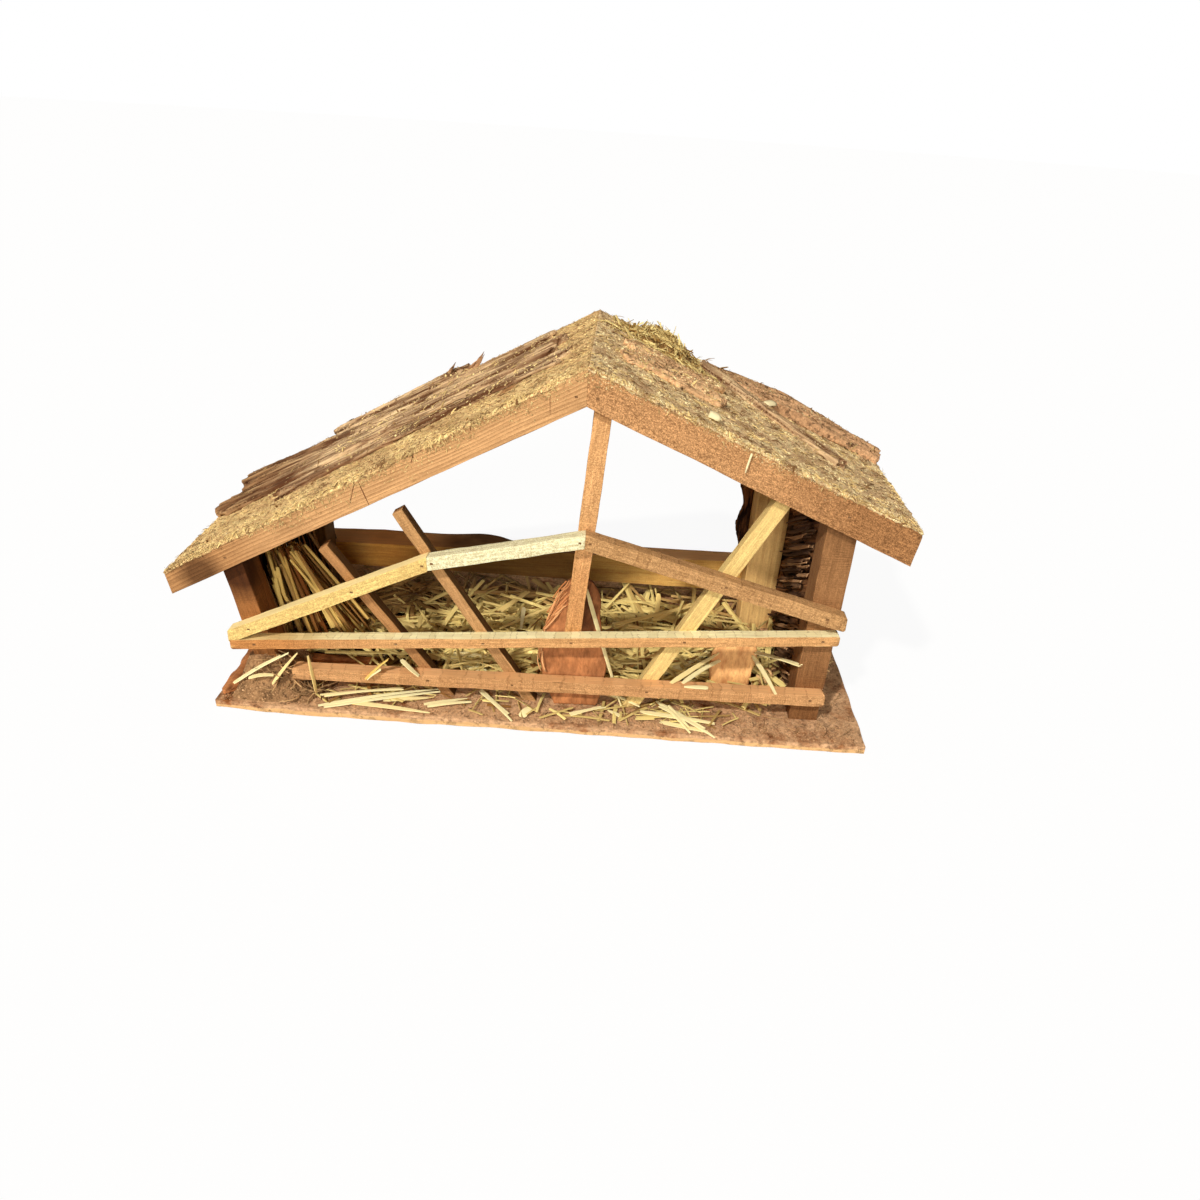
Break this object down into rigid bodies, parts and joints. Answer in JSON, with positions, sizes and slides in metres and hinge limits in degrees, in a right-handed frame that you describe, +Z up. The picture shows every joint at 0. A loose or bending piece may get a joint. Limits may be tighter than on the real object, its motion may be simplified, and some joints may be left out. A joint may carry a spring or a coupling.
{
  "type": "nativity stable",
  "caption": "Rustic wooden nativity stable on a plywood base, with a lopsided gable roof covered in bark and sawdust, bark walls, a nailed fence and straw on the floor.",
  "frame": {"origin": "middle of the underside of the base board, where the stable stands", "axes": "+Z up, the open front faces -Y, +X to the right when looking at the front"},
  "size_m": [0.3545, 0.155, 0.1793],
  "materials": {
    "plywood": "matte",
    "post_wood": "matte",
    "gable_wood": "matte",
    "roof_wood": "matte",
    "rail_wood": "matte",
    "bark": "matte",
    "red_bark": "matte",
    "moss": "matte",
    "straw": "matte",
    "steel": "satin"
  },
  "bodies": {
    "root": {"arch_left_lower": "rail_wood", "arch_left_upper": "rail_wood", "arch_right": "rail_wood", "back_rail": "rail_wood", "bark_chunk_centre": "red_bark", "bark_chunk_left": "red_bark", "bark_chunk_right": "red_bark", "base_board": "plywood", "base_brads": "steel", "front_left_gable_board": "gable_wood", "front_left_post": "post_wood", "front_right_gable_board": "gable_wood", "front_right_post": "post_wood", "gable_brads": "steel", "king_post": "rail_wood", "left_edge_bark": "red_bark", "left_roof_bark_back": "bark", "left_roof_bark_front": "bark", "left_roof_bark_middle": "bark", "left_roof_bark_top": "bark", "left_roof_panel": "roof_wood", "left_wall_bark_front": "bark", "left_wall_bark_rear": "bark", "lower_rail": "rail_wood", "mid_rail": "rail_wood", "rail_brads": "steel", "rear_left_bark": "bark", "rear_left_gable_board": "gable_wood", "rear_left_post": "post_wood", "rear_right_bark": "bark", "rear_right_gable_board": "gable_wood", "rear_right_post": "post_wood", "ridge_beam": "roof_wood", "ridge_moss_clump": "moss", "right_roof_bark_back": "bark", "right_roof_bark_middle": "bark", "right_roof_bark_strip": "bark", "right_roof_panel": "roof_wood", "right_wall_bark_lower": "bark", "right_wall_bark_middle": "bark", "right_wall_bark_upper": "bark", "straw_bed": "straw", "strut_left_inner": "rail_wood", "strut_left_outer": "rail_wood", "strut_right": "rail_wood"}
  },
  "joints": []
}
